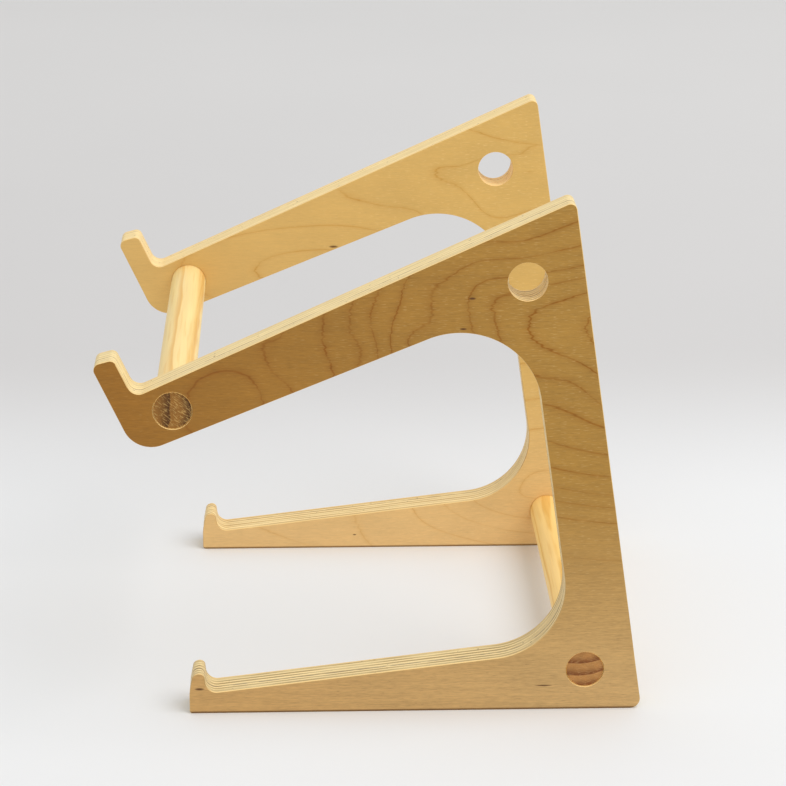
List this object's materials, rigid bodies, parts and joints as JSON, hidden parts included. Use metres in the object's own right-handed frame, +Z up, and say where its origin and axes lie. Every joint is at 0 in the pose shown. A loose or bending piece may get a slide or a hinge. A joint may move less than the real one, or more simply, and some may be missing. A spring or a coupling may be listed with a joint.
{
  "type": "two-tier laptop stand",
  "caption": "Two-tier plywood desk stand for laptops: two flat side panels with a sloping hooked arm and a low lipped foot, joined by round wooden dowels.",
  "frame": {"origin": "on the floor, under the middle of the stand's box", "axes": "+Z up; the user sits at -Y and looks along +Y, so the hooks and lips are at -Y; +X is the user's right, and the panels stand square to X"},
  "size_m": [0.24, 0.2802, 0.2744],
  "materials": {
    "side_plywood": "matte",
    "dowel_softwood": "satin"
  },
  "bodies": {
    "root": {"right_side_panel": "side_plywood", "left_side_panel": "side_plywood", "front_dowel": "dowel_softwood", "rear_dowel": "dowel_softwood"}
  },
  "joints": []
}
